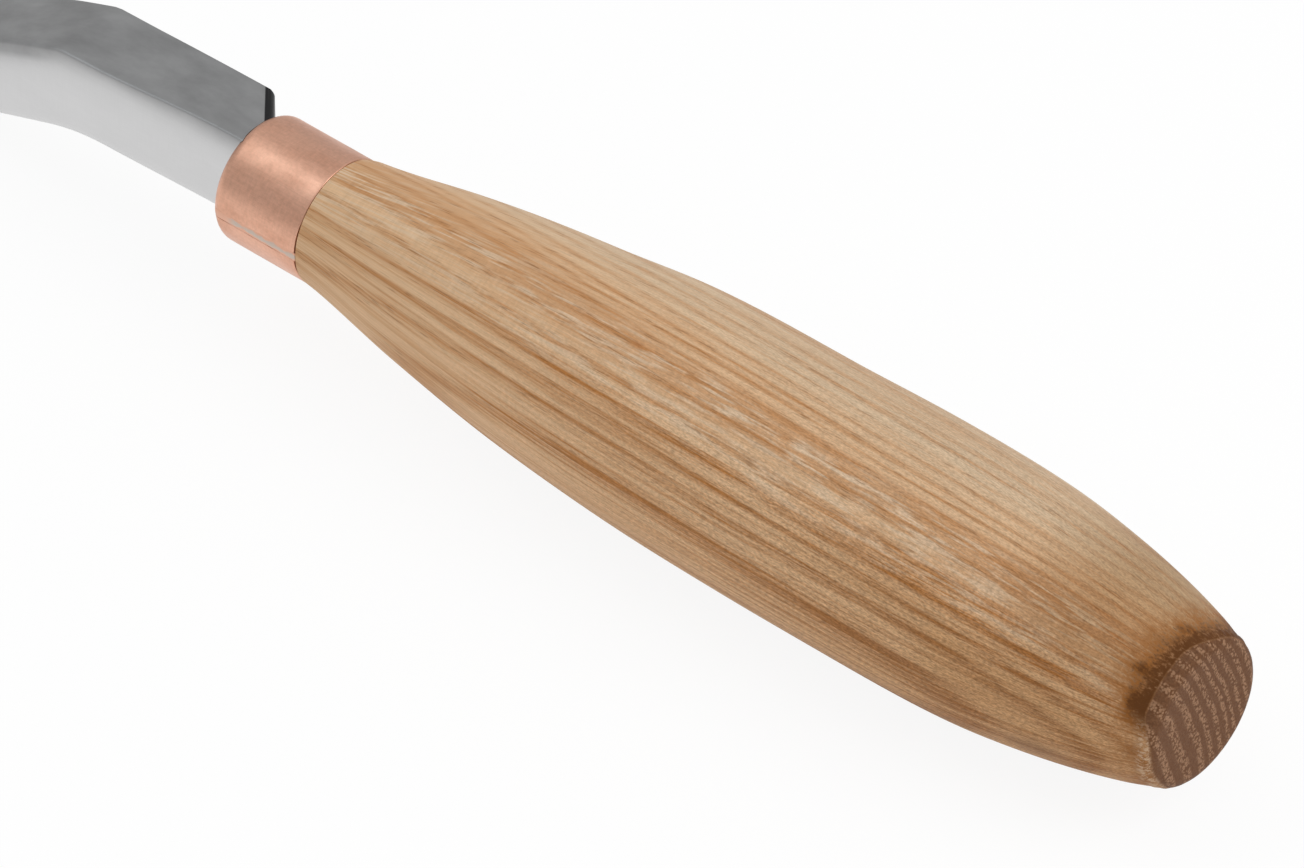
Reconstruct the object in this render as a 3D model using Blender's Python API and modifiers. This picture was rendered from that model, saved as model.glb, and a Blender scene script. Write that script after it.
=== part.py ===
"""Bent gouge: a forged steel blade on a driven tang, a turned ash handle and a rolled copper ferrule.

Metres, +Z up. The origin is the middle of the butt face and +X runs along the handle to the cutting edge.
The heel of the blade dips as low as the belly of the handle, so the tool lies level on a bench.
"""

import math
from collections import namedtuple

import bmesh
import bpy
from mathutils import Matrix, Vector

# Gap between pieces that seat on each other.
SEAT_GAP = 0.0003

# Handle, turned round the X axis.
HANDLE_LENGTH = 0.1190
BUTT_DIAMETER = 0.0176
BUTT_FLARE = 0.36
BUTT_EDGE_RADIUS = 0.0018
BUTT_EDGE_STEPS = 4
HAUNCH_DIAMETER = 0.0268
HAUNCH_FROM_BUTT = 0.0210
BELLY_DIAMETER = 0.0285
BELLY_FROM_BUTT = 0.0420
PALM_DIAMETER = 0.0275
PALM_FROM_FERRULE = 0.0500
WAIST_DIAMETER = 0.0239
WAIST_FROM_FERRULE = 0.0280
NECK_DIAMETER = 0.0198
NECK_FROM_FERRULE = 0.0140
COLLAR_FLARE = 0.11
HANDLE_TURNS = 64
HANDLE_RINGS = 7

# Ferrule, a copper strip rolled round, soldered at its seam and turned in at the front.
FERRULE_DIAMETER = 0.0150
FERRULE_WALL = 0.0010
FERRULE_LENGTH = 0.0120
FERRULE_LIP = 0.0006
FERRULE_RIM_RADIUS = 0.0014
FERRULE_RIM_STEPS = 5
FERRULE_TURNS = 64
SEAM_WIDTH = 0.0011
SEAM_ANGLE = math.radians(-1.0)

# Tang, driven into a hole of its own shape.
TANG_LENGTH = 0.0760
TANG_WIDTH = 0.0048
TANG_HEIGHT = 0.0070
TANG_TIP_WIDTH = 0.0026
TANG_TIP_HEIGHT = 0.0038
TANG_ROOT_IN_SHANK = 0.0020

# Blade, along its underside from the shoulder to the cutting edge.
BLADE_SET_OVER = 0.0013
SHANK_TOP = 0.0068
SHANK_DROOP = math.radians(0.6)
STRAIGHT_LENGTH = 0.0210
BEND_RADIUS = 0.0150
BEND_ANGLE = math.radians(18.1)
BEND_CROWN = 0.0005
SWEEP_RADIUS = 0.0450
SWEEP_RISE = math.radians(26.0)
LIP_LENGTH = 0.0050
BLADE_STEP = 0.0022

# Blade sections: width, height, depth of the hollow and squareness of the underside.
SHANK_WIDTH = 0.0097
SHANK_HEIGHT = 0.0119
SHANK_SQUARENESS = 6.0
BEND_WIDTH = 0.0108
BEND_HEIGHT = 0.0110
THROAT_WIDTH = 0.0108
THROAT_HEIGHT = 0.0091
HEEL_WIDTH = 0.0132
HEEL_HEIGHT = 0.0074
HEEL_HOLLOW = 0.0034
HEEL_SQUARENESS = 3.4
MOUTH_WIDTH = 0.0172
MOUTH_HEIGHT = 0.0076
MOUTH_HOLLOW = 0.0052
MOUTH_SQUARENESS = 2.2
RIM_WIDTH = 0.0017
SIDE_DRAW_IN = 0.0004
SIDE_DRAW_POWER = 4
BEVEL_LENGTH = 0.0070
EDGE_THICKNESS = 0.0003
SECTION_SIDES = 22
SHARP_EDGE = math.radians(35.0)

# Shoulder, the far rear corner of the shank cut back to the tang and eased along its top.
SHOULDER_RUN = 0.0039
SHOULDER_REACH = 0.0045
SHOULDER_EASE = 0.0011
SHOULDER_EASE_DEPTH = 0.0010
CUTTER_SIZE = 0.0400

Section = namedtuple("Section", "at width height hollow squareness")


def clear_scene():
    for old in list(bpy.data.objects):
        bpy.data.objects.remove(old, do_unlink=True)


def new_collection(name):
    collection = bpy.data.collections.new(name)
    bpy.context.scene.collection.children.link(collection)
    return collection


def new_object(name, mesh, collection):
    piece = bpy.data.objects.new(name, mesh)
    collection.objects.link(piece)
    return piece


def new_cutter(name, shape, collection):
    """A hidden object that only cuts other pieces."""
    mesh = bpy.data.meshes.new(name)
    shape.to_mesh(mesh)
    shape.free()
    cutter = new_object(name, mesh, collection)
    cutter.hide_render = True
    cutter.display_type = "WIRE"
    return cutter


def finish(name, colour, roughness, metallic):
    """A plain material of one colour."""
    material = bpy.data.materials.new(name)
    material.use_nodes = True
    shader = material.node_tree.nodes["Principled BSDF"]
    shader.inputs["Base Color"].default_value = (*colour, 1.0)
    shader.inputs["Roughness"].default_value = roughness
    shader.inputs["Metallic"].default_value = metallic
    return material


def combine(piece, other, operation):
    modifier = piece.modifiers.new(operation.title() + " " + other.name, "BOOLEAN")
    modifier.operation = operation
    modifier.object = other
    modifier.solver = "EXACT"


def smooth_round_faces(mesh, angle):
    mesh.shade_smooth()
    mesh.set_sharp_from_angle(angle=angle)


def turned(name, profile, closed, turns, collection):
    """A profile of (radius, height) points, top to bottom, turned round the X axis."""
    shape = bmesh.new()
    points = [shape.verts.new((radius, 0.0, height)) for radius, height in profile]
    for first, second in zip(points, points[1:]):
        shape.edges.new((first, second))
    if closed:
        shape.edges.new((points[-1], points[0]))
    mesh = bpy.data.meshes.new(name)
    shape.to_mesh(mesh)
    shape.free()
    piece = new_object(name, mesh, collection)
    piece.rotation_euler = (0.0, math.pi / 2, 0.0)
    screw = piece.modifiers.new("Turning", "SCREW")
    screw.steps = turns
    screw.render_steps = turns
    screw.use_merge_vertices = True
    screw.merge_threshold = 0.00001
    screw.use_smooth_shade = True
    return piece


def arc(centre, radius, start, end, steps):
    """Points (radius, height) of an arc, both ends included."""
    turns = [start + (end - start) * step / steps for step in range(steps + 1)]
    return [(centre[0] + radius * math.cos(t), centre[1] + radius * math.sin(t)) for t in turns]


def slopes_through(stations, first=0.0, last=0.0):
    """Slopes of a smooth curve through (place, value) stations, level where it turns back."""
    spans = [b[0] - a[0] for a, b in zip(stations, stations[1:])]
    steps = [(b[1] - a[1]) / span for a, b, span in zip(stations, stations[1:], spans)]
    inner = []
    for i in range(len(steps) - 1):
        even = (steps[i] * spans[i + 1] + steps[i + 1] * spans[i]) / (spans[i] + spans[i + 1])
        inner.append(even if steps[i] * steps[i + 1] > 0 else 0.0)
    return [first, *inner, last]


def value_at(stations, slopes, place):
    """The value of that smooth curve at one place along it."""
    last = len(stations) - 2
    index = next((i for i in range(last) if place < stations[i + 1][0]), last)
    (start, low), (end, high) = stations[index], stations[index + 1]
    length = end - start
    t = min(max((place - start) / length, 0.0), 1.0)
    return (
        low * (1 + 2 * t) * (1 - t) ** 2
        + slopes[index] * length * t * (1 - t) ** 2
        + high * t * t * (3 - 2 * t)
        + slopes[index + 1] * length * t * t * (t - 1)
    )


def tapered_bar(root, tip, start, end):
    """A four-sided bar along X, from a (width, height) root section to a tip section."""
    shape = bmesh.new()
    bmesh.ops.create_cube(shape, size=2.0)
    for vert in shape.verts:
        width, height = tip if vert.co.x < 0 else root
        vert.co = (end if vert.co.x < 0 else start, vert.co.y * width / 2, vert.co.z * height / 2)
    return shape


def shoulder_x():
    """Where the shank starts, just in front of the ferrule."""
    return HANDLE_LENGTH + SEAT_GAP + FERRULE_LENGTH + SEAT_GAP


def spigot_end():
    """The front end of the wood, just behind the ferrule's turned-in lip."""
    return HANDLE_LENGTH + SEAT_GAP + FERRULE_LENGTH - FERRULE_WALL - SEAT_GAP


def handle_profile():
    """The handle's outline from the spigot's end down to the butt face."""
    spigot = FERRULE_DIAMETER / 2 - FERRULE_WALL - SEAT_GAP
    stations = [
        (0.0, BUTT_DIAMETER / 2),
        (HAUNCH_FROM_BUTT, HAUNCH_DIAMETER / 2),
        (BELLY_FROM_BUTT, BELLY_DIAMETER / 2),
        (HANDLE_LENGTH - PALM_FROM_FERRULE, PALM_DIAMETER / 2),
        (HANDLE_LENGTH - WAIST_FROM_FERRULE, WAIST_DIAMETER / 2),
        (HANDLE_LENGTH - NECK_FROM_FERRULE, NECK_DIAMETER / 2),
        (HANDLE_LENGTH, FERRULE_DIAMETER / 2),
    ]
    slopes = slopes_through(stations, BUTT_FLARE, -COLLAR_FLARE)
    outline = []
    for (start, _), (end, _) in zip(stations, stations[1:]):
        for ring in range(HANDLE_RINGS):
            place = start + (end - start) * ring / HANDLE_RINGS
            if place >= BUTT_EDGE_RADIUS:
                outline.append((value_at(stations, slopes, place), place))
    outline.append((FERRULE_DIAMETER / 2, HANDLE_LENGTH))
    outline.reverse()
    flat = value_at(stations, slopes, BUTT_EDGE_RADIUS) - BUTT_EDGE_RADIUS
    edge = arc((flat, BUTT_EDGE_RADIUS), BUTT_EDGE_RADIUS, 0.0, -math.pi / 2, BUTT_EDGE_STEPS)
    spigot_points = [(0.0, spigot_end()), (spigot, spigot_end()), (spigot, HANDLE_LENGTH)]
    return [*spigot_points, *outline, *edge, (0.0, 0.0)]


def ferrule_profile():
    """The ferrule's wall, down its outside from the turned-in front rim and back up its bore."""
    outer = FERRULE_DIAMETER / 2
    bore = outer - FERRULE_WALL
    rear = HANDLE_LENGTH + SEAT_GAP
    front = rear + FERRULE_LENGTH
    rim = arc(
        (outer - FERRULE_RIM_RADIUS, front - FERRULE_RIM_RADIUS),
        FERRULE_RIM_RADIUS,
        math.pi / 2,
        0.0,
        FERRULE_RIM_STEPS,
    )
    opening = bore - FERRULE_LIP
    lip = [(bore, front - FERRULE_WALL), (opening, front - FERRULE_WALL), (opening, front)]
    return [*rim, (outer, rear), (bore, rear), *lip]


def seam_block(width, name, collection):
    """A block along the ferrule's seam, on the side that faces +Y."""
    shape = bmesh.new()
    reach = FERRULE_DIAMETER
    size = Matrix.Diagonal((FERRULE_LENGTH * 2, reach, width, 1.0))
    bmesh.ops.create_cube(shape, size=1.0, matrix=Matrix.Translation((0.0, reach / 2, 0.0)) @ size)
    bmesh.ops.rotate(shape, verts=shape.verts, matrix=Matrix.Rotation(SEAM_ANGLE, 3, "X"))
    middle = HANDLE_LENGTH + SEAT_GAP + FERRULE_LENGTH / 2
    bmesh.ops.translate(shape, verts=shape.verts, vec=(middle, 0.0, 0.0))
    return new_cutter(name, shape, collection)


def underside_path():
    """Points (x, z, pitch, length so far) along the blade's underside, and where its main stretches end."""
    x, z = shoulder_x(), SHANK_TOP - SHANK_HEIGHT
    pitch = -SHANK_DROOP
    dive = SHANK_DROOP + BEND_ANGLE
    bend_drop = STRAIGHT_LENGTH * math.sin(SHANK_DROOP)
    bend_drop += BEND_RADIUS * (math.cos(SHANK_DROOP) - math.cos(dive))
    sweep_drop = SWEEP_RADIUS * (1 - math.cos(dive))
    dip_length = (BELLY_DIAMETER / 2 + z - bend_drop - sweep_drop) / math.sin(dive)
    stretches = [
        (STRAIGHT_LENGTH, 0.0),
        (BEND_RADIUS * BEND_ANGLE, -BEND_ANGLE),
        (dip_length, 0.0),
        (SWEEP_RADIUS * dive, dive),
        (SWEEP_RADIUS * SWEEP_RISE, SWEEP_RISE),
        (LIP_LENGTH, 0.0),
    ]
    points, ends, length = [(x, z, pitch, 0.0)], [], 0.0
    for stretch, turn in stretches:
        steps = max(1, round(stretch / BLADE_STEP))
        for _ in range(steps):
            pitch += turn / steps / 2
            x += stretch / steps * math.cos(pitch)
            z += stretch / steps * math.sin(pitch)
            pitch += turn / steps / 2
            length += stretch / steps
            points.append((x, z, pitch, length))
        ends.append(length)
    return points, ends


def blade_sections(ends):
    """The named sections of the blade, placed where the stretches of its underside end."""
    straight_end, bend_end, dip_end, heel, _, mouth = ends
    bend = (straight_end + bend_end) / 2
    return [
        Section(0.0, SHANK_WIDTH, SHANK_HEIGHT, 0.0, SHANK_SQUARENESS),
        Section(bend, BEND_WIDTH, BEND_HEIGHT, 0.0, SHANK_SQUARENESS),
        Section(dip_end, THROAT_WIDTH, THROAT_HEIGHT, 0.0, SHANK_SQUARENESS),
        Section(heel, HEEL_WIDTH, HEEL_HEIGHT, HEEL_HOLLOW, HEEL_SQUARENESS),
        Section(mouth, MOUTH_WIDTH, MOUTH_HEIGHT, MOUTH_HOLLOW, MOUTH_SQUARENESS),
    ]


def section_at(sections, place):
    fields = []
    for index in range(1, len(Section._fields)):
        stations = [(section.at, section[index]) for section in sections]
        fields.append(value_at(stations, slopes_through(stations), place))
    return Section(place, *fields)


def section_outline(section, wall_left):
    """Points (y, z) round the underside and back across the top, both from the +Y rim to the -Y rim."""
    half = section.width / 2
    under, over = [], []
    for side in range(SECTION_SIDES + 1):
        turn = math.pi * (side + 0.5 * (side not in (0, SECTION_SIDES))) / (SECTION_SIDES + 1)
        turn = math.pi if side == SECTION_SIDES else turn
        across, down = math.cos(turn), math.sin(turn)
        power = 2 / section.squareness
        fall = max(down, 0.0) ** power
        reach = half - SIDE_DRAW_IN * (1 - fall) ** SIDE_DRAW_POWER
        out = math.copysign(abs(across) ** power, across) * reach
        inner = ((half - RIM_WIDTH) * across, section.height - section.hollow * down)
        outer = (out, section.height * (1 - fall))
        under.append(tuple(i + (o - i) * wall_left for i, o in zip(inner, outer)))
        over.append(inner)
    return under, over


def blade_shape():
    """A loft from the barred shank to the hollow mouth, whose outside is bevelled to the cutting edge."""
    path, ends = underside_path()
    sections = blade_sections(ends)
    straight_end, bend_end, mouth = ends[0], ends[1], ends[-1]
    edge_share = EDGE_THICKNESS / (MOUTH_HEIGHT - MOUTH_HOLLOW)
    shape = bmesh.new()
    rings = []
    for x, z, pitch, length in path:
        section = section_at(sections, length)
        off_bend = abs(2 * length - straight_end - bend_end) / (bend_end - straight_end)
        crown = BEND_CROWN * max(0.0, 1 - off_bend) ** 2
        section = section._replace(height=section.height + crown)
        left = min(1.0, (mouth - length) / BEVEL_LENGTH)
        under, over = section_outline(section, edge_share + (1 - edge_share) * left)
        frame = Matrix.Translation((x, -BLADE_SET_OVER, z)) @ Matrix.Rotation(-pitch, 4, "Y")
        rings.append([[shape.verts.new(frame @ Vector((0.0, *p))) for p in line] for line in (under, over)])
    for (under, over), (next_under, next_over) in zip(rings, rings[1:]):
        for i in range(SECTION_SIDES):
            shape.faces.new((under[i], under[i + 1], next_under[i + 1], next_under[i]))
            shape.faces.new((over[i + 1], over[i], next_over[i], next_over[i + 1]))
        shape.faces.new((over[0], under[0], next_under[0], next_over[0]))
        shape.faces.new((under[-1], over[-1], next_over[-1], next_under[-1]))
    for under, over in (rings[0], rings[-1]):
        for i in range(SECTION_SIDES):
            shape.faces.new((under[i], under[i + 1], over[i + 1], over[i]))
    bmesh.ops.recalc_face_normals(shape, faces=shape.faces)
    return shape


def shoulder_cutter(name, lean, shift, collection):
    """A block whose one face cuts off the shank's far rear corner, leaning out below its top edge."""
    shape = bmesh.new()
    block = Matrix.Translation((-CUTTER_SIZE / 2, 0.0, 0.0))
    bmesh.ops.create_cube(shape, size=CUTTER_SIZE, matrix=block)
    heading = math.atan2(SHOULDER_RUN, SHOULDER_REACH)
    far_side = -BLADE_SET_OVER - SHANK_WIDTH / 2
    hinge = Matrix.Translation((shoulder_x() + SHOULDER_RUN, far_side, SHANK_TOP))
    turn = Matrix.Rotation(heading, 4, "Z")
    push = Matrix.Translation((-shift, 0.0, 0.0))
    bmesh.ops.transform(
        shape, verts=shape.verts, matrix=hinge @ turn @ push @ Matrix.Rotation(lean, 4, "Y")
    )
    return new_cutter(name, shape, collection)


def build_handle(parts, cutters):
    handle = turned("handle", handle_profile(), False, HANDLE_TURNS, parts)
    grow = 2 * SEAT_GAP
    hole = tapered_bar(
        (TANG_WIDTH + grow, TANG_HEIGHT + grow),
        (TANG_TIP_WIDTH + grow, TANG_TIP_HEIGHT + grow),
        shoulder_x(),
        shoulder_x() - TANG_LENGTH - SEAT_GAP,
    )
    combine(handle, new_cutter("tang_hole", hole, cutters), "DIFFERENCE")
    handle.data.materials.append(finish("ash", (0.60, 0.40, 0.22), 0.55, 0.0))


def build_ferrule(parts, cutters):
    ferrule = turned("ferrule", ferrule_profile(), True, FERRULE_TURNS, parts)
    combine(ferrule, seam_block(SEAM_WIDTH, "seam_slit", cutters), "DIFFERENCE")
    ferrule.data.materials.append(finish("copper", (0.72, 0.40, 0.28), 0.38, 1.0))
    solder = turned("seam_solder", ferrule_profile(), True, FERRULE_TURNS, parts)
    combine(solder, seam_block(SEAM_WIDTH - 2 * SEAT_GAP, "seam_fill", cutters), "INTERSECT")
    solder.data.materials.append(finish("solder", (0.50, 0.50, 0.52), 0.45, 1.0))


def build_blade(parts, cutters):
    mesh = bpy.data.meshes.new("blade")
    shape = blade_shape()
    shape.to_mesh(mesh)
    shape.free()
    blade = new_object("blade", mesh, parts)
    lean = math.atan2(SHOULDER_EASE, SHOULDER_EASE_DEPTH)
    combine(blade, shoulder_cutter("shoulder_cut", 0.0, SHOULDER_EASE, cutters), "DIFFERENCE")
    combine(blade, shoulder_cutter("shoulder_ease", lean, 0.0, cutters), "DIFFERENCE")
    tang = tapered_bar(
        (TANG_WIDTH, TANG_HEIGHT),
        (TANG_TIP_WIDTH, TANG_TIP_HEIGHT),
        shoulder_x() + TANG_ROOT_IN_SHANK,
        shoulder_x() - TANG_LENGTH,
    )
    combine(blade, new_cutter("tang", tang, cutters), "UNION")
    smooth_round_faces(mesh, SHARP_EDGE)
    blade.data.materials.append(finish("ground_steel", (0.55, 0.55, 0.56), 0.32, 1.0))


def main():
    clear_scene()
    parts = new_collection("bent_gouge")
    cutters = new_collection("cutters")
    build_handle(parts, cutters)
    build_ferrule(parts, cutters)
    build_blade(parts, cutters)


main()
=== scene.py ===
"""Looks of the bent gouge: ash handle, rolled copper ferrule with a soldered seam, forged steel blade."""

import math
from collections import namedtuple

import bmesh
import bpy
from bpy.props import FloatProperty, FloatVectorProperty, IntProperty, PointerProperty
from mathutils import Matrix, Vector, noise


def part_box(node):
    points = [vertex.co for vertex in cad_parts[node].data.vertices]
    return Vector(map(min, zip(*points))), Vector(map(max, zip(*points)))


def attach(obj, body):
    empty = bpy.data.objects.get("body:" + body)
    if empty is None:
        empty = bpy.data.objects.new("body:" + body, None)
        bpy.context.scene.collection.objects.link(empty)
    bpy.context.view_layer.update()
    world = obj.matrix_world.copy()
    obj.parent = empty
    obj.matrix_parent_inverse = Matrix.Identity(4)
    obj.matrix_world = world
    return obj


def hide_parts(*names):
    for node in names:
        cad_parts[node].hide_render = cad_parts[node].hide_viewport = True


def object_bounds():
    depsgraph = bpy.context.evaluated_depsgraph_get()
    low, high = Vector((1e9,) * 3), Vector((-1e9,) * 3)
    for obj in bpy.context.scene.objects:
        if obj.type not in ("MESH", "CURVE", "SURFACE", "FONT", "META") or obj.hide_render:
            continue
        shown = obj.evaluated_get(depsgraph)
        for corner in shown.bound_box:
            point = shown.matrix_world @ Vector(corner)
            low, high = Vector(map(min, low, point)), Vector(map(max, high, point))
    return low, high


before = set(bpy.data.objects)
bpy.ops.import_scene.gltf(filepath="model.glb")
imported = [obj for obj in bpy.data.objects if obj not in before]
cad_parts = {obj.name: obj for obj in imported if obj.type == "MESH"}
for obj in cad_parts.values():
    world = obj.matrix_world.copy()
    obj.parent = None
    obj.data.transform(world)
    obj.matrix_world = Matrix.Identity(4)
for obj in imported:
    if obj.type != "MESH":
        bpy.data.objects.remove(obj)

bl_info = {
    "name": "Bent gouge",
    "version": (1, 0, 0),
    "blender": (4, 5, 0),
    "location": "View3D > Sidebar > Gouge",
    "description": "Builds the handle, ferrule, solder seam and blade of a bent gouge, and a white stage",
    "category": "Object",
}

MM = 0.001
BODY = "root"

# Places taken from the frame.
CAD_BOX = [list(corner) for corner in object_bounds()]
HANDLE_LOW, HANDLE_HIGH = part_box("handle")
FERRULE_LOW, FERRULE_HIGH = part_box("ferrule")
BLADE_LOW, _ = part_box("blade")
SEAT_GAP = 0.3 * MM
HANDLE_LENGTH = FERRULE_LOW.x - SEAT_GAP
SHOULDER_X = FERRULE_HIGH.x + SEAT_GAP

# Vertices closer than this become one.
MERGE = 0.001 * MM

# Share of the ferrule's slit that the solder fills.
SEAM_FIT = 0.97

# The photograph's frame, and where the front edge of the wood lies in it.
IMAGE_WIDTH = 1304
IMAGE_HEIGHT = 868
COLLAR_PIXEL = (342, 223)

# Growth rings of the ash: places of the dark early wood, in millimetres from the handle's axis towards the
# pith, and how far through each ring the wood is palest.
RINGS = (-11.7, -10.0, -8.6, -7.3, -6.0, -4.6, -3.7, -2.3, -0.8, 0.8, 3.3, 5.6, 7.5, 9.4, 12.3, 15.2)
RING_SPAN = (-14.5, 15.5)
PALEST = 0.56

# Where the pith lies, in millimetres, and how the rings lean, bow and waver along the handle.
PITH_AWAY, PITH_ASIDE, PITH_TURN = 48.5, 1.7, math.radians(22.0)
RING_MIDDLE, RING_LEAN, RING_BOW, RING_WAVER = 60.0, 0.0327, 0.00024, 1.1

# A bruise and a stain on the handle's side, and the radius at which its fibres are drawn.
BRUISE_SPOT = (72.5 * MM, 5.1 * MM, 12.2 * MM)
STAIN_SPOT = (13.6 * MM, 11.1 * MM, -5.1 * MM)
SKIN_RADIUS = 12.0 * MM

# The part of a noise's range that tints and gloss follow.
TINT_SPREAD = (0.25, 0.75)
GLOSS_SPREAD = (0.3, 0.7)

# The middle of the painted pool of light that the floor shows in reflections.
POOL_SPOT = (0.12, 0.10, 0.0)

# The ridge along the top of the far side, where the plane left it proud or low: place and height in
# millimetres, and its turn about the axis.
RIDGE = [(0, -0.50), (16, -0.26), (30, -0.12), (42, 0.0), (55, -0.20)]
RIDGE += [(75, 0.22), (87, -0.10), (104, 0.13), (119, 0.12)]
RIDGE_TURN = math.radians(139)

# The shank at the ferrule.
SHANK_WIDTH = 9.7 * MM
SHANK_HEIGHT = 11.9 * MM

BladeSection = namedtuple("BladeSection", "at width height hollow squareness ease bare")


def setting(kind, measure=1, **fixed):
    """A maker of settings of one kind, each from a name, a description and a default in its measure."""

    def make(name, description, default):
        return kind(name=name, description=description, default=default * measure, **fixed)

    return make


length = setting(FloatProperty, MM, subtype="DISTANCE", unit="LENGTH", precision=5)
angle = setting(FloatProperty, math.radians(1.0), subtype="ANGLE", unit="ROTATION")
share = setting(FloatProperty, min=0.0, max=1.0, subtype="FACTOR")
pixels = setting(FloatProperty, min=1.0, subtype="PIXEL")
count = setting(IntProperty, min=24)
colour = setting(FloatVectorProperty, size=3, min=0.0, max=1.0, subtype="COLOR")


class GougeHandleSettings(bpy.types.PropertyGroup):
    """Sizes and colours of the ash handle."""

    butt_radius: length("Butt radius", "Radius where the sides would reach the butt face", 8.8)
    butt_edge: length("Butt edge", "Rounding between the sides and the butt face", 1.8)
    haunch_radius: length("Haunch radius", "Radius in front of the butt", 13.4)
    haunch_place: length("Haunch place", "Its distance from the butt face", 21.0)
    belly_place: length("Belly place", "Distance of the thickest part from the butt face", 42.0)
    palm_radius: length("Palm radius", "Radius in front of the belly", 13.75)
    palm_place: length("Palm place", "Its distance from the ferrule", 50.0)
    waist_radius: length("Waist radius", "Radius where the handle draws in", 11.95)
    waist_place: length("Waist place", "Its distance from the ferrule", 28.0)
    neck_radius: length("Neck radius", "Radius just behind the ferrule", 9.9)
    neck_place: length("Neck place", "Its distance from the ferrule", 14.0)
    hand_depth: length("Hand work", "Depth of the soft flats of hand shaping", 0.10)
    fuzz_depth: length("Torn fibre", "Depth of the torn fibre round the butt's rim", 0.22)
    front_swell: length("Front swell", "How far the front half stands out", 0.12)
    plug_radius: length("Plug radius", "Radius of the wood that fills the ferrule's mouth", 5.8)
    plug_depth: length("Plug depth", "How far that wood lies behind the ferrule's front", 0.3)
    turns: count("Turns", "Steps round the handle", 176)
    late_wood: colour("Late wood", "Pale wood between the rings", (0.720, 0.476, 0.282))
    early_wood: colour("Early wood", "Dark porous line of each ring", (0.450, 0.188, 0.054))
    sap_wood: colour("Sap wood", "Palest wood, on the upper side", (0.655, 0.487, 0.323))
    heart_wood: colour("Heart wood", "Reddish wood along the middle", (0.520, 0.255, 0.108))
    deep_vessels: colour("Deep vessels", "Dark lines in the deep wood", (0.335, 0.143, 0.046))
    deep_wood: colour("Deep wood", "Darkest wood, nearest the pith", (0.535, 0.288, 0.120))
    fleck: colour("Flecks", "Pale flecks where rays reach the surface", (0.760, 0.585, 0.410))
    end_wood: colour("End grain", "Cut ends of the fibres", (0.128, 0.055, 0.024))
    end_pores: colour("End pores", "Dusty pores in the cut end", (0.300, 0.165, 0.092))
    # Tint that makes the wood darker near the butt, weaker on its lower side.
    butt_shade: colour("Butt shade", "Tint of the handled wood near the butt", (0.700, 0.625, 0.530))
    burn: colour("Scorch", "Scorched rim of the butt", (0.105, 0.036, 0.008))
    haze: colour("Haze", "Brown haze in front of the scorch", (0.275, 0.104, 0.024))
    bruise: colour("Bruise", "Small bruise on the side", (0.370, 0.125, 0.038))
    heart_share: share("Heart share", "How strongly the heart wood shows", 0.54)
    deep_share: share("Deep share", "How strongly the deep wood shows", 0.72)
    fleck_share: share("Fleck share", "How strongly the flecks show", 0.47)


class GougeFerruleSettings(bpy.types.PropertyGroup):
    """Sizes and colours of the ferrule and its solder seam."""

    wall: length("Wall", "Thickness of the copper strip", 1.0)
    lip: length("Lip", "How far the front is turned in past the bore", 0.6)
    rim_radius: length("Rim radius", "Radius of the turned front rim", 1.4)
    rear_edge: length("Rear edge", "Rounding of the rear edge", 0.15)
    dent_depth: length("Dents", "Depth of the soft dents from rolling", 0.03)
    edge_wander: length("Edge wander", "How far the rear edge strays from a true circle", 0.35)
    seam_width: length("Seam width", "Width of the slit that the solder fills", 1.1)
    seam_angle: angle("Seam angle", "Turn of the seam from the side", -1.0)
    seam_crown: length("Seam crown", "How far the solder stands proud", 0.05)
    turns: count("Turns", "Steps round the ferrule", 150)
    copper: colour("Copper", "Clean copper", (0.725, 0.410, 0.290))
    tarnish: colour("Tarnish", "Copper that has dulled", (0.560, 0.285, 0.185))
    solder: colour("Solder", "Dull grey solder", (0.560, 0.500, 0.440))


class GougeBladeSettings(bpy.types.PropertyGroup):
    """Sizes and colours of the blade."""

    set_over: length("Set over", "How far the blade stands aside from the axis", 1.3)
    shank_top: length("Shank top", "Height of the shank's flat top over the axis", 6.8)
    droop: angle("Droop", "Fall of the shank in front of the ferrule", 0.6)
    straight: length("Straight", "Length of the straight shank", 18.9)
    bend_radius: length("Bend radius", "Radius of the bend at the underside", 28.0)
    bend_angle: angle("Bend", "Angle of the bend", 18.1)
    bend_crown: length("Bend crown", "Extra height at the bend", 0.5)
    sweep_radius: length("Sweep radius", "Radius of the upward sweep", 45.0)
    sweep_rise: angle("Sweep rise", "Rise of the cutting edge", 26.0)
    lip: length("Lip", "Straight length behind the cutting edge", 5.0)
    step: length("Step", "Distance between sections", 0.7)
    rim_width: length("Rim", "Thickness of the gouge's wall at its rims", 1.7)
    near_draw: length("Near draw-in", "How far the seam's side leans in at the top", 0.8)
    far_draw: length("Far draw-in", "How far the other side leans in at the top", 0.4)
    far_ease: length("Far ease", "Rounding of the top edge on the other side", 0.3)
    bevel: length("Bevel", "Length of the outside bevel", 7.0)
    edge: length("Edge", "Thickness left at the cutting edge", 0.3)
    shoulder_run: length("Shoulder run", "How far forward the far rear corner is cut", 3.9)
    shoulder_reach: length("Shoulder reach", "How far across the far rear corner is cut", 4.5)
    shoulder_ease: length("Shoulder ease", "Rounding along the top of that cut", 1.1)
    tang_width: length("Tang width", "Width of the tang at its root", 4.8)
    tang_height: length("Tang height", "Height of the tang at its root", 7.0)
    tip_width: length("Tang tip width", "Width of the tang at its tip", 2.6)
    tip_height: length("Tang tip height", "Height of the tang at its tip", 3.8)
    steel: colour("Steel", "Ground and sanded steel", (0.590, 0.588, 0.590))
    # Darker colour that paints shade into the steel of the shank's top.
    shaded_top: colour("Shaded top steel", "Darker steel left on the shank's top", (0.332, 0.332, 0.334))
    # Near-black colour laid over the cut shoulder.
    scale: colour("Shoulder black", "Near-black on the cut shoulder", (0.030, 0.030, 0.031))


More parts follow.
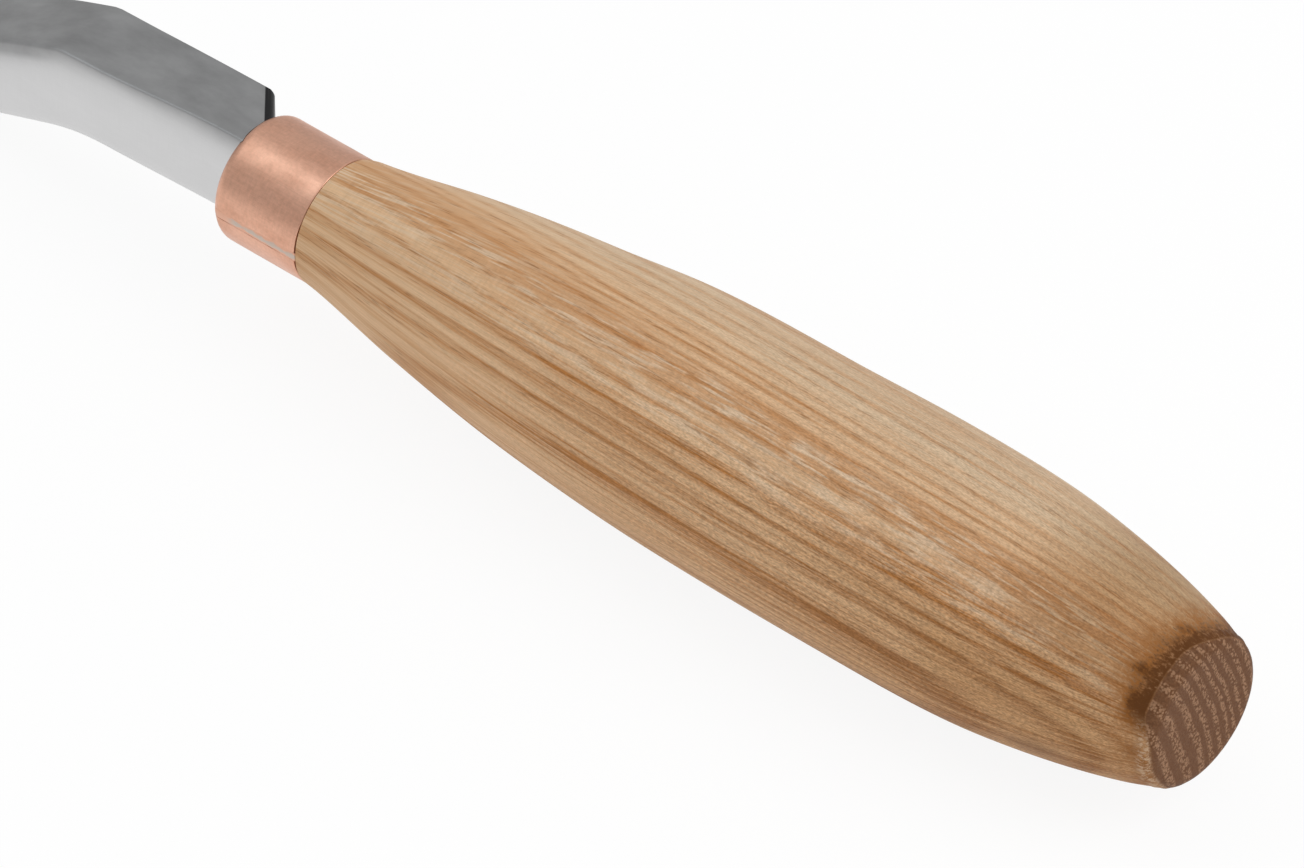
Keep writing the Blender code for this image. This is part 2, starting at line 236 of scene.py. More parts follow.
class GougeStageSettings(bpy.types.PropertyGroup):
    """The white stage, its lights and the photograph's camera."""

    azimuth: angle("Azimuth", "Turn of the camera round the tool", 220.9)
    elevation: angle("Elevation", "Height of the camera over the horizon", 41.2)
    distance: length("Distance", "From the camera to the front edge of the wood", 1600.0)
    focal_pixels: pixels("Focal length", "In pixels of the photograph", 14976.0)
    floor_size: length("Floor size", "Half the width of the floor", 12000.0)
    floor_light: share("Floor light", "Share of the floor's white that no shadow touches", 0.9)
    far_wall: share("Far wall", "Grey of the room behind the tool", 0.68)
    far_foot: share("Far foot", "Grey at the foot of the far wall", 0.56)
    near_wall: share("Near wall", "Grey of the room on the camera's side", 0.575)
    pool: length("Pool of light", "Reach of the floor's brightest part in reflections", 130.0)
    white: colour("White", "Colour of the floor and the backdrop", (1.0, 1.0, 1.0))


def smooth_value(stations, place, first=0.0, last=0.0):
    """Value at one place of a smooth curve through (place, value) stations, level where it turns back."""
    spans = [b[0] - a[0] for a, b in zip(stations, stations[1:])]
    steps = [(b[1] - a[1]) / span for a, b, span in zip(stations, stations[1:], spans)]
    slopes = [first]
    for i in range(len(steps) - 1):
        even = (steps[i] * spans[i + 1] + steps[i + 1] * spans[i]) / (spans[i] + spans[i + 1])
        slopes.append(even if steps[i] * steps[i + 1] > 0 else 0.0)
    slopes.append(last)
    final = len(spans) - 1
    index = next((i for i in range(final) if place < stations[i + 1][0]), final)
    low, high = stations[index][1], stations[index + 1][1]
    t = min(max((place - stations[index][0]) / spans[index], 0.0), 1.0)
    return (
        low * (1 + 2 * t) * (1 - t) ** 2
        + slopes[index] * spans[index] * t * (1 - t) ** 2
        + high * t * t * (3 - 2 * t)
        + slopes[index + 1] * spans[index] * t * t * (t - 1)
    )


def spaced(low, high, steps):
    """Evenly spaced values, both ends included."""
    return [low + (high - low) * step / steps for step in range(steps + 1)]


def arc(centre, radius, start, end, steps):
    """Points (x, radius) of an arc in a profile, both ends included."""
    turns = spaced(start, end, steps)
    return [(centre[0] + radius * math.cos(t), centre[1] + radius * math.sin(t)) for t in turns]


def ramp_between(low, high, value):
    """A soft step from 0 at low to 1 at high."""
    t = min(max((value - low) / (high - low), 0.0), 1.0)
    return t * t * (3 - 2 * t)


def chain(shape, points, closed=False):
    """New vertices joined by edges, and the edges."""
    verts = [shape.verts.new(point) for point in points]
    ends = verts[1:] + verts[:1] if closed else verts[1:]
    return verts, [shape.edges.new(pair) for pair in zip(verts, ends)]


def around_axis(x, radius, turn):
    return Vector((x, radius * math.cos(turn), radius * math.sin(turn)))


def scale_out(vert, factor):
    """Moves a vertex straight out from the X axis, or in."""
    vert.co.y *= factor
    vert.co.z *= factor


def spin(shape, geom, turn, steps, merge=False):
    """Spins a profile about the X axis."""
    about = {"cent": (0, 0, 0), "axis": (1, 0, 0)}
    bmesh.ops.spin(shape, geom=geom, angle=turn, steps=steps, use_merge=merge, **about)


def extruded(shape, edges):
    """Extrudes a loop of edges in place, and returns the vertices and edges of the new loop."""
    made = bmesh.ops.extrude_edge_only(shape, edges=edges)["geom"]
    verts = {part for part in made if isinstance(part, bmesh.types.BMVert)}
    made = [part for part in made if isinstance(part, bmesh.types.BMEdge)]
    return verts, [edge for edge in made if verts.issuperset(edge.verts)]


def draw_in(shape, edges, x, width, height):
    """Extrudes a loop of edges on to a rectangle in the plane of one x, and returns the new loop."""
    verts, rim = extruded(shape, edges)
    for vert in verts:
        reach = max(abs(vert.co.y) * 2 / width, abs(vert.co.z) * 2 / height)
        vert.co = (x, vert.co.y / reach, vert.co.z / reach)
    for y, z in ((1, 1), (-1, 1), (-1, -1), (1, -1)):
        corner = Vector((x, y * width / 2, z * height / 2))
        nearest = min(verts, key=lambda vert: (vert.co - corner).length)
        nearest.co = corner
    return rim


def placed(name, data):
    """A new object in the scene."""
    item = bpy.data.objects.new(name, data)
    bpy.context.scene.collection.objects.link(item)
    return item


def solid(name, shape, material):
    """A new mesh object made from a bmesh."""
    mesh = bpy.data.meshes.new(name)
    shape.to_mesh(mesh)
    shape.free()
    mesh.materials.append(material)
    return placed(name, mesh)


def new_piece(name, shape, material, sharp_degrees):
    """Turns a bmesh into a piece that stands for the CAD node of the same name."""
    bmesh.ops.remove_doubles(shape, verts=shape.verts, dist=MERGE)
    bmesh.ops.recalc_face_normals(shape, faces=shape.faces)
    piece = solid(name + "_piece", shape, material)
    piece.data.shade_smooth()
    piece.data.set_sharp_from_angle(angle=math.radians(sharp_degrees))
    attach(piece, BODY)
    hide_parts(name)


def plug_end(sizes):
    """How far forward the wood fills the ferrule's mouth, as an x."""
    return FERRULE_HIGH.x - sizes.plug_depth


def handle_outline(sizes, wall):
    """Points (x, radius) from the middle of the butt face to the wood in the ferrule's mouth."""
    stations = [
        (0.0, sizes.butt_radius),
        (sizes.haunch_place, sizes.haunch_radius),
        (sizes.belly_place, HANDLE_HIGH.z),
        (HANDLE_LENGTH - sizes.palm_place, sizes.palm_radius),
        (HANDLE_LENGTH - sizes.waist_place, sizes.waist_radius),
        (HANDLE_LENGTH - sizes.neck_place, sizes.neck_radius),
        (HANDLE_LENGTH, FERRULE_HIGH.y),
    ]
    edge = sizes.butt_edge
    places = spaced(edge, HANDLE_LENGTH, steps=132)
    side = [(x, smooth_value(stations, x, first=0.36, last=-0.11)) for x in places]
    flat = side[0][1] - edge
    face = [(0.0, radius) for radius in spaced(0.0, flat, steps=14)[:-1]]
    rounding = arc((edge, flat), edge, math.pi, math.pi / 2, steps=8)
    spigot, plug = FERRULE_HIGH.y - wall - SEAT_GAP, sizes.plug_radius
    under_ferrule = [(HANDLE_LENGTH, spigot), (HANDLE_HIGH.x, spigot)]
    front = [(HANDLE_HIGH.x, plug), (plug_end(sizes), plug)]
    return [*face, *rounding[:-1], *side, *under_ferrule, *front]


def shape_by_hand(verts, sizes):
    """Sinks soft flats into the sides and torn fibre into the rim, and raises the ridge and the front."""
    flat_length, flat_width, skin = 17, 8, 9 * MM
    for vert in verts:
        x, reach = vert.co.x, math.hypot(vert.co.y, vert.co.z)
        if reach < 1 * MM or x > HANDLE_LENGTH - 0.1 * MM:
            continue
        wide = skin / reach / flat_width
        flats = 0.5 + 0.5 * noise.noise(Vector((x / flat_length, vert.co.y * wide, vert.co.z * wide)) / MM)
        fade = ramp_between(0.0, 8 * MM, HANDLE_LENGTH - x)
        rim = ramp_between(0.2 * MM, 1.2 * MM, x) * (1 - ramp_between(2.0 * MM, 4.2 * MM, x))
        fibre = 0.5 + 0.5 * noise.noise(Vector((x * 0.6, vert.co.y * 1.7, vert.co.z * 1.7)) / MM)
        sink = sizes.hand_depth * flats * fade + sizes.fuzz_depth * fibre * rim
        nearness = max(0.0, math.cos(math.atan2(vert.co.z, vert.co.y) - RIDGE_TURN)) ** 3
        sink -= smooth_value(RIDGE, x / MM) * MM * nearness
        sink -= sizes.front_swell * ramp_between(55 * MM, 75 * MM, x) * (1 - nearness) * fade
        scale_out(vert, 1 - sink / reach)


class GOUGE_OT_handle(bpy.types.Operator):
    """Builds the ash handle, with the tang's hole in its front end"""

    bl_idname = "gouge.handle"
    bl_label = "Ash handle"

    def execute(self, context):
        sizes, blade = context.scene.gouge_handle, context.scene.gouge_blade
        shape = bmesh.new()
        outline = handle_outline(sizes, context.scene.gouge_ferrule.wall)
        verts, edges = chain(shape, [around_axis(x, radius, 0.0) for x, radius in outline])
        spin(shape, verts + edges, math.tau, sizes.turns, merge=True)
        bmesh.ops.remove_doubles(shape, verts=shape.verts, dist=MERGE)
        shape_by_hand(shape.verts, sizes)
        front = [edge for edge in shape.edges if edge.is_boundary]
        grow = 2 * SEAT_GAP
        width, height = blade.tang_width + grow, blade.tang_height + grow
        mouth = draw_in(shape, front, plug_end(sizes), width, height)
        tip = BLADE_LOW.x - SEAT_GAP
        foot = draw_in(shape, mouth, tip, blade.tip_width + grow, blade.tip_height + grow)
        bmesh.ops.contextual_create(shape, geom=foot)
        new_piece("handle", shape, ash_material(sizes), 40)
        return {"FINISHED"}


def ferrule_outline(sizes):
    """Points (x, radius) round the ferrule's wall: its outside, its front rim and back down its bore."""
    outer, bore = FERRULE_HIGH.y, FERRULE_HIGH.y - sizes.wall
    rear, front = FERRULE_LOW.x - 0.7 * SEAT_GAP, FERRULE_HIGH.x
    opening = bore - sizes.lip
    edge, rim = sizes.rear_edge, sizes.rim_radius
    rear_round = arc((rear + edge, outer - edge), edge, math.pi, math.pi / 2, steps=4)
    front_round = arc((front - rim, outer - rim), rim, math.pi / 2, 0.0, steps=9)
    outside = [(x, outer) for x in spaced(rear + edge, front - rim, steps=16)[1:-1]]
    turned_in = [(front, opening), (front - sizes.wall, opening), (front - sizes.wall, bore), (rear, bore)]
    return [*rear_round, *outside, *front_round, *turned_in]


def spin_sector(shape, outline, start, sweep, steps):
    """A closed profile spun part of the way round the X axis, with both its ends closed."""
    profile = shape.faces.new([shape.verts.new(around_axis(x, radius, start)) for x, radius in outline])
    spin(shape, [profile, *profile.edges, *profile.verts], sweep, steps)


def slit_half_angle(sizes):
    return sizes.seam_width / 2 / FERRULE_HIGH.y


def outer_skin(shape, sizes):
    """The vertices on the outside of the ferrule or its seam, with their distances from the axis."""
    reaches = [(vert, math.hypot(vert.co.y, vert.co.z)) for vert in shape.verts]
    return [(vert, reach) for vert, reach in reaches if reach > FERRULE_HIGH.y - sizes.wall / 2]


class GOUGE_OT_ferrule(bpy.types.Operator):
    """Builds the copper ferrule, rolled from a strip with a slit where its ends meet"""

    bl_idname = "gouge.ferrule"
    bl_label = "Copper ferrule"

    def execute(self, context):
        sizes = context.scene.gouge_ferrule
        half = slit_half_angle(sizes)
        shape = bmesh.new()
        start, sweep = sizes.seam_angle + half, math.tau - 2 * half
        spin_sector(shape, ferrule_outline(sizes), start, sweep, sizes.turns)
        for vert, reach in outer_skin(shape, sizes):
            dents = 0.5 + 0.5 * noise.noise(Vector((vert.co.x / 5, vert.co.y / 4, vert.co.z / 4)) / MM)
            scale_out(vert, 1 - sizes.dent_depth * dents / reach)
            wander = max(0.0, noise.noise(Vector((0.0, vert.co.y, vert.co.z)) / (4.5 * MM)))
            rear = 1 - ramp_between(FERRULE_LOW.x, FERRULE_LOW.x + 2 * MM, vert.co.x)
            vert.co.x += sizes.edge_wander * wander * rear
        new_piece("ferrule", shape, copper_material(sizes), 40)
        return {"FINISHED"}


class GOUGE_OT_seam(bpy.types.Operator):
    """Builds the solder that fills the ferrule's slit"""

    bl_idname = "gouge.seam"
    bl_label = "Solder seam"

    def execute(self, context):
        sizes = context.scene.gouge_ferrule
        half = slit_half_angle(sizes) * SEAM_FIT
        shape = bmesh.new()
        spin_sector(shape, ferrule_outline(sizes), sizes.seam_angle - half, 2 * half, steps=12)
        for vert, reach in outer_skin(shape, sizes):
            across = (math.atan2(vert.co.z, vert.co.y) - sizes.seam_angle) / half
            lumps = noise.noise(Vector((vert.co.x / 1.6, 0.0, vert.co.z / 1.2)) / MM)
            crown = max(0.0, 1 - across * across) + 0.6 * lumps - 0.6
            scale_out(vert, 1 + sizes.seam_crown * crown / reach)
        new_piece("seam_solder", shape, solder_material(sizes), 40)
        return {"FINISHED"}


def blade_path(sizes):
    """Points (x, z, pitch, length so far) along the blade's underside, and where its stretches end."""
    x, z = SHOULDER_X, sizes.shank_top - SHANK_HEIGHT
    pitch, dive = -sizes.droop, sizes.droop + sizes.bend_angle
    bend_drop = sizes.straight * math.sin(sizes.droop)
    bend_drop += sizes.bend_radius * (math.cos(sizes.droop) - math.cos(dive))
    sweep_drop = sizes.sweep_radius * (1 - math.cos(dive))
    dip = (z - HANDLE_LOW.z - bend_drop - sweep_drop) / math.sin(dive)
    stretches = [
        (sizes.straight, 0.0),
        (sizes.bend_radius * sizes.bend_angle, -sizes.bend_angle),
        (dip, 0.0),
        (sizes.sweep_radius * dive, dive),
        (sizes.sweep_radius * sizes.sweep_rise, sizes.sweep_rise),
        (sizes.lip, 0.0),
    ]
    points, ends, so_far = [(x, z, pitch, 0.0)], [], 0.0
    for stretch, turn in stretches:
        steps = max(1, round(stretch / sizes.step))
        for _ in range(steps):
            pitch += turn / steps / 2
            x += stretch / steps * math.cos(pitch)
            z += stretch / steps * math.sin(pitch)
            pitch += turn / steps / 2
            so_far += stretch / steps
            points.append((x, z, pitch, so_far))
        ends.append(so_far)
    return points, ends


def blade_section(place, ends):
    """The blade's section at one place along its underside."""
    straight, bend, dip, heel, _, mouth = ends
    # Place, width, height, depth of the hollow, squareness of the underside, rounding of the top's edges,
    # and how far down its sides the top's painted shade reaches.
    named = [
        BladeSection(0.0, SHANK_WIDTH, SHANK_HEIGHT, 0.0, 6.0, 0.25 * MM, 0.45 * MM),
        BladeSection(straight, 10.65 * MM, 11.12 * MM, 0.0, 6.0, 0.3 * MM, 0.0),
        BladeSection(bend, 10.8 * MM, 10.75 * MM, 0.0, 6.0, 0.35 * MM, 1.0 * MM),
        BladeSection(dip, 10.8 * MM, 9.1 * MM, 0.0, 6.0, 0.4 * MM, 0.75 * MM),
        BladeSection(heel, 13.2 * MM, 7.4 * MM, 3.4 * MM, 3.4, 0.4 * MM, 0.0),
        BladeSection(mouth, 17.2 * MM, 7.6 * MM, 5.2 * MM, 2.2, 0.2 * MM, 0.0),
    ]
    places, *columns = zip(*named)
    return BladeSection(place, *(smooth_value(list(zip(places, column)), place) for column in columns))


def section_ring(section, wall_left, sizes):
    """Points (y, z) round a section: from the +Y corner by the underside to the -Y one, and the top."""
    half, height = section.width / 2, section.height
    rim = half - sizes.rim_width

    def under(turn):
        across, down = math.cos(turn), math.sin(turn)
        size = (abs(across) ** section.squareness + down**section.squareness) ** (-1 / section.squareness)
        fall = size * down
        draw = sizes.near_draw if across > 0 else sizes.far_draw
        out = size * across * (half - draw * (1 - fall) ** 5)
        inner = (rim * across, height - section.hollow * down)
        y = inner[0] + (out - inner[0]) * wall_left
        return (y, inner[1] + (height * (1 - fall) - inner[1]) * wall_left)

    def rounded(side, draw, ease, turn):
        corner = rim + (half - draw - rim) * wall_left
        start = under(turn)
        points = []
        for t in spaced(0.0, 1.0, steps=8):
            y = side * ((corner - ease * wall_left) * (1 - t) ** 2 + 2 * corner * t * (1 - t))
            points.append((y + start[0] * t * t, height * (1 - t * t) + start[1] * t * t))
        return points

    far_ease = min(sizes.far_ease, section.ease)
    first, last = math.atan(section.ease / height), math.pi - math.atan(far_ease / height)
    near = rounded(1, sizes.near_draw, section.ease, first)
    far = rounded(-1, sizes.far_draw, far_ease, last)
    side = [under(turn) for turn in spaced(first, last, steps=44)[1:-1]]
    low, high = max(-rim, far[0][0]), min(rim, near[0][0])
    top = []
    for turn in spaced(0.0, math.pi, steps=28)[1:-1]:
        y = (low + high) / 2 - (high - low) / 2 * math.cos(turn)
        top.append((y, height - section.hollow * math.sqrt(max(0.0, 1 - (y / rim) ** 2))))
    flat = (low, height) if low > far[0][0] else far[0]
    end = (high, height) if high < near[0][0] else near[0]
    return [*near, *side, *reversed(far), flat, *top, end]


def bright_share(section, point, polish):
    """1 where the steel is ground bright, 0 on the top with its painted shade, and a little more as a
    painted highlight along the top's edges.
    """
    drop = section.height - point[1]
    # A painted highlight along the top edge, weaker where the painted shade runs further down the side.
    edge_light = 0.38 * ramp_between(0.0, 0.15 * MM, drop) * max(0.0, 1 - section.bare / (1.2 * MM))
    return max(polish, edge_light, 1 - math.exp(-max(0.0, drop - section.bare) / (0.85 * MM)))


def rim_front(point, rim_radius):
    """Where the shank's end meets the ferrule's rounded front rim, as an x."""
    reach = math.hypot(point.y, point.z) - (FERRULE_HIGH.y - rim_radius)
    depth = rim_radius - math.sqrt(max(0.0, rim_radius**2 - min(max(reach, 0.0), rim_radius) ** 2))
    return FERRULE_HIGH.x + 0.06 * MM - depth


def loft_blade(shape, sizes, rim_radius):
    """Extrudes the shank's section along the underside, from the shoulder to the cutting edge."""
    path, ends = blade_path(sizes)
    mouth = ends[-1]
    end = blade_section(mouth, ends)
    thin = sizes.edge / (end.height - end.hollow)
    place_layer = shape.verts.layers.int.new("place")
    # Share of bright steel at each vertex; where it is low, the steel takes the top's painted shade.
    bright_layer = shape.verts.layers.float.new("ground")
    edges = None
    for x, z, pitch, place in path:
        section = blade_section(place, ends)
        off_bend = abs(2 * place - ends[0] - ends[1]) / (ends[1] - ends[0])
        crown = sizes.bend_crown * max(0.0, 1 - off_bend) ** 2
        left = thin + (1 - thin) * min(1.0, (mouth - place) / sizes.bevel)
        section = section._replace(height=section.height + crown)
        ring = section_ring(section, left, sizes)
        polish = ramp_between(ends[2], ends[3], place)
        seat = Matrix.Translation((x, -sizes.set_over, z)) @ Matrix.Rotation(-pitch, 4, "Y")
        points = [seat @ Vector((0.0, *point)) for point in ring]
        if edges is None:
            points = [Vector((rim_front(point, rim_radius), point.y, point.z)) for point in points]
            verts, edges = chain(shape, points, closed=True)
            for index, vert in enumerate(verts):
                vert[place_layer] = index
            bmesh.ops.contextual_create(shape, geom=edges)
        else:
            verts, edges = extruded(shape, edges)
        for vert in verts:
            vert.co = points[vert[place_layer]]
            vert[bright_layer] = bright_share(section, ring[vert[place_layer]], polish)
    bmesh.ops.contextual_create(shape, geom=edges)


def shoulder_normal(sizes):
    """Outward direction of the face that cuts off the far rear corner."""
    heading = math.atan2(sizes.shoulder_run, sizes.shoulder_reach)
    return Vector((-math.cos(heading), -math.sin(heading), 0.0))


def shoulder_hinge(sizes):
    return Vector((SHOULDER_X + sizes.shoulder_run, -sizes.set_over - SHANK_WIDTH / 2, sizes.shank_top))


def cut_shoulder(shape, sizes):
    """Cuts off the far rear corner and rounds the top edge of the cut with a few narrow facets."""
    outward = shoulder_normal(sizes)
    ease = sizes.shoulder_ease
    centre = shoulder_hinge(sizes) - Vector((0.0, 0.0, ease))
    for lean in (0, 20, 40, 60, 76):
        turn = math.radians(lean)
        facing = outward * math.cos(turn) + Vector((0.0, 0.0, math.sin(turn)))
        cut = bmesh.ops.bisect_plane(
            shape,
            geom=[*shape.verts, *shape.edges, *shape.faces],
            dist=0.0005 * MM,
            plane_co=centre + facing * ease,
            plane_no=facing,
            clear_outer=True,
        )
        rim = [part for part in cut["geom_cut"] if isinstance(part, bmesh.types.BMEdge)]
        bmesh.ops.contextual_create(shape, geom=rim)


class GOUGE_OT_blade(bpy.types.Operator):
    """Builds the forged blade: tang, shank, bend and the hollow cutting end"""

    bl_idname = "gouge.blade"
    bl_label = "Forged blade"

    def execute(self, context):
        sizes = context.scene.gouge_blade
        shape = bmesh.new()
        loft_blade(shape, sizes, context.scene.gouge_ferrule.rim_radius)
        cut_shoulder(shape, sizes)
        back = min(shape.faces, key=lambda face: face.calc_center_median().x)
        bmesh.ops.delete(shape, geom=[back], context="FACES_ONLY")
        wide = [edge for edge in shape.edges if edge.is_boundary and edge.calc_length() > 0.6 * MM]
        bmesh.ops.subdivide_edges(shape, edges=wide, cuts=15)
        rim = [edge for edge in shape.edges if edge.is_boundary]
        root = draw_in(shape, rim, FERRULE_HIGH.x, sizes.tang_width, sizes.tang_height)
        tip = draw_in(shape, root, BLADE_LOW.x, sizes.tip_width, sizes.tip_height)
        bmesh.ops.contextual_create(shape, geom=tip)
        new_piece("blade", shape, steel_material(sizes), 32)
        return {"FINISHED"}


def add(tree, kind, inputs=None, **settings):
    """A new node with its settings made, and its inputs set or linked."""
    made = tree.nodes.new("ShaderNode" + kind)
    for name, value in settings.items():
        setattr(made, name, value)
    feed(made, inputs or {})
    return made


def feed(made, inputs):
    """Sets or links the inputs of a node."""
    for name, value in inputs.items():
        if isinstance(value, Field):
            made.id_data.links.new(value.socket, made.inputs[name])
        else:
            made.inputs[name].default_value = value


class Field:
    """The output of a node, which can be reckoned with like a number."""

    def __init__(self, socket):
        self.socket = socket

    def new(self, kind, inputs, output=0, **settings):
        """The output of a new node in the same tree."""
        return Field(add(self.socket.id_data, kind, inputs, **settings).outputs[output])

    def math(self, operation, first, second=0.0, clamp=False):
        return self.new("Math", {0: first, 1: second}, operation=operation, use_clamp=clamp)

    def __add__(self, other):
        return self.math("ADD", self, other)

    def __sub__(self, other):
        return self.math("SUBTRACT", self, other)

    def __rsub__(self, other):
        return self.math("SUBTRACT", other, self)

    def __mul__(self, other):
        return self.math("MULTIPLY", self, other)

    def larger(self, other):
        return self.math("MAXIMUM", self, other)

    def clamped(self):
        """The same value, kept between 0 and 1."""
        return self.math("ADD", self, clamp=True)

    def swing(self, amount):
        """A noise value turned into a swing about nought."""
        return (self - 0.5) * amount

    def step(self, low, high):
        """A soft step from 0 at low to 1 at high, or the other way round."""
        inputs = {"Value": self, "From Min": low, "From Max": high}
        return self.new("MapRange", inputs, interpolation_type="SMOOTHSTEP")

    def within(self, low, rise, fall, high):
        """1 from rise to fall, fading to 0 at low and at high."""
        return self.step(low, rise) * self.step(high, fall)

    def remap(self, spread, low=0.0, high=1.0):
        """A value that runs evenly from low to high over a spread of this one."""
        start, end = spread
        inputs = {"Value": self, "From Min": start, "From Max": end, "To Min": low, "To Max": high}
        return self.new("MapRange", inputs)

    def vector(self, operation, second=(0.0, 0.0, 0.0)):
        output = "Value" if operation in ("LENGTH", "DISTANCE", "DOT_PRODUCT") else "Vector"
        return self.new("VectorMath", {0: self, 1: second}, output, operation=operation)

    def part(self, axis):
        return self.new("SeparateXYZ", {0: self}, axis)

    def speckle(self, along, across, detail, roughness):
        """Noise with so many waves to the millimetre along the tool and across it."""
        waves = [count / MM for count in (along, across, across)]
        scaled = self.new("Mapping", {"Vector": self, "Scale": waves})
        inputs = {"Vector": scaled, "Scale": 1.0, "Detail": detail, "Roughness": roughness}
        return self.new("TexNoise", inputs)

    def mix(self, amount, first, second, mode):
        first, second = (tone if isinstance(tone, Field) else (*tone, 1.0) for tone in (first, second))
        return self.new("Mix", {0: amount, 6: first, 7: second}, 2, data_type="RGBA", blend_type=mode)

    def blend(self, first, second, mode="MIX"):
        """One colour mixed with another by this amount."""
        return self.mix(self, first, second, mode)

    def tint(self, base, low, high):
        """A colour made darker or lighter by this noise value."""
        shade = self.remap(TINT_SPREAD, low, high)
        grey = self.new("CombineColor", {part: shade for part in range(3)})
        return self.mix(1.0, base, grey, "MULTIPLY")

    def bump(self, strength, distance):
        return self.new("Bump", {"Height": self, "Strength": strength, "Distance": distance})


def painted(base, *layers):
    """A colour with layers (amount, colour) mixed into it, one after another."""
    for amount, tone in layers:
        base = amount.blend(base, tone)
    return base


def new_material(name):
    """A material, its Principled shader and its Object coordinates."""
    material = bpy.data.materials.new(name)
    material.use_nodes = True
    tree = material.node_tree
    return material, tree.nodes["Principled BSDF"], Field(add(tree, "TexCoord").outputs["Object"])


def ring_place(here):
    """Millimetres from the handle's axis towards the pith across the wavering rings, and from the butt."""
    mm = here.vector("MULTIPLY", [1 / MM] * 3)
    along = mm.part("X")
    turned = mm.new("VectorRotate", {"Vector": mm, "Axis": (1, 0, 0), "Angle": PITH_TURN})
    from_pith = turned.vector("SUBTRACT", (0, PITH_AWAY, PITH_ASIDE))
    distance = from_pith.vector("MULTIPLY", (0, 1, 1)).vector("LENGTH")
    from_middle = along - RING_MIDDLE
    curve = from_middle * RING_LEAN + from_middle * from_middle * RING_BOW
    waver = here.speckle(0.03, 0.16, 3.0, 0.55).swing(RING_WAVER)
    return PITH_AWAY - distance + curve + waver, along


def ring_ramp(place):
    """1 on the dark early wood of each growth ring, 0 on the late wood between."""
    low, high = RING_SPAN
    ramp = add(place.socket.id_data, "ValToRGB", {0: place.remap(RING_SPAN)})
    ramp.color_ramp.interpolation = "EASE"
    elements = ramp.color_ramp.elements
    elements.remove(elements[1])
    elements[0].position = 0.0
    elements[0].color = (0, 0, 0, 1)
    stops = []
    for ring, following in zip(RINGS, RINGS[1:]):
        stops += [(ring, 1), (ring + PALEST * (following - ring), 0)]
    for spot, dark in [*stops, (RINGS[-1], 1)]:
        elements.new((spot - low) / (high - low)).color = (dark, dark, dark, 1)
    return Field(ramp.outputs[0])


def skin_place(here):
    """Coordinates that run along the handle's skin, so that fibres follow its swell."""
    outward = here.vector("MULTIPLY", (0, 1, 1)).vector("NORMALIZE")
    forward = here.vector("MULTIPLY", (1, 0, 0))
    return outward.vector("MULTIPLY", [SKIN_RADIUS] * 3).vector("ADD", forward)


def ash_grain(here, place, along, ring, sizes):
    """Colour of the long grain, its fine fibre and its pores, by ring place and distance from the butt."""
    skin = skin_place(here)
    streak = skin.speckle(0.014, 0.62, 3.0, 0.6)
    line = skin.speckle(0.026, 2.7, 3.0, 0.65)
    fibre = skin.speckle(0.22, 7.0, 2.0, 0.65)
    ray = skin.speckle(0.15, 2.2, 2.0, 0.55)
    hole = skin.speckle(0.42, 7.5, 1.0, 0.4)
    speck = here.speckle(2.0, 6.4, 2.0, 0.6)
    ripple = here.speckle(2.2, 0.6, 2.0, 0.6)

    # The zones of the wood.
    sap = place.step(-3.0, -9.0)
    lower = place.step(1.5, 5.5)
    narrow = place.step(-3.6, -1.4)
    wider = (place.step(-6.5, -2.0) - narrow) * along.step(75.0, 92.0)
    heart = (narrow + wider) * place.step(2.0, 0.1)
    rear_heart = place.within(-1.0, 1.0, 2.8, 4.8) * along.step(36.0, 22.0)
    pale = place.within(-2.4, -0.4, 4.0, 6.2)
    deep = place.step(3.0, 9.0) * along.step(95.0, 65.0) * (along.step(60.0, 25.0) * 0.65 + 0.35)
    light = place.within(8.0, 9.5, 11.5, 12.5) * along.within(24.0, 31.0, 48.0, 62.0)
    # Darker near the butt, weaker on the lower side.
    darkened = (place.step(7.5, 1.5) * 0.75 + 0.25) * along.step(26.0, 10.0)

    # How dark the rings and the fine lines are. Both are calmer near the ends of the handle.
    rear_calm = along.step(42.0, 14.0) * place.step(4.5, 0.5) * 0.25
    front_calm = (place.step(1.0, -4.0) * 0.25 + 0.25) * along.step(80.0, 104.0)
    lively = 1.0 - (rear_calm + front_calm)
    depth = 0.48 - sap * 0.16 + lower * 0.14 + heart * 0.04
    rings = ring.math("POWER", ring, 1.9) * depth * (lively * 0.6 + 0.4)
    coarse = lower * (along.step(78.0, 55.0) * 0.55 + 1.25)
    strokes = (coarse - sap * 0.35 + heart * 0.35 + 1.45) * lively
    shade = lower * along.step(92.0, 70.0) * 0.13 + 0.06
    dark = (rings + shade + streak.swing(0.9) + line.swing(strokes) + fibre.swing(1.0)).clamped()

    wood = painted(
        sizes.late_wood,
        (sap, sizes.sap_wood),
        (heart * sizes.heart_share, sizes.heart_wood),
        (deep * sizes.deep_share, sizes.deep_wood),
        (rear_heart * 0.35, sizes.heart_wood),
        (light * 0.25, sizes.late_wood),
        (dark, deep.blend(sizes.early_wood, sizes.deep_vessels)),
    )
    paler_front = along * 0.0084
    wood = paler_front.tint(wood, 0.98, 1.06)
    flecks = ray.step(0.44, 0.64) * (pale + 0.10) + heart * ray.step(0.48, 0.66) * 0.5
    wood = (flecks * sizes.fleck_share).blend(wood, sizes.fleck)
    wood = (ripple.swing(pale) + 0.5).tint(wood, 0.93, 1.07)
    stipple = along.step(118.0, 30.0) * (lower * 0.5 + 0.9)
    wood = (speck.swing(stipple) + 0.5).tint(wood, 0.66, 1.25)
    wood = fibre.tint(wood, 0.88, 1.12)
    pore = hole.step(0.58, 0.70) * (ring * 0.7 + 0.2)
    brown = [part * 0.45 for part in sizes.early_wood]
    wood = (pore * 0.5).blend(wood, brown)
    return darkened.blend(wood, sizes.butt_shade, "MULTIPLY"), fibre, pore


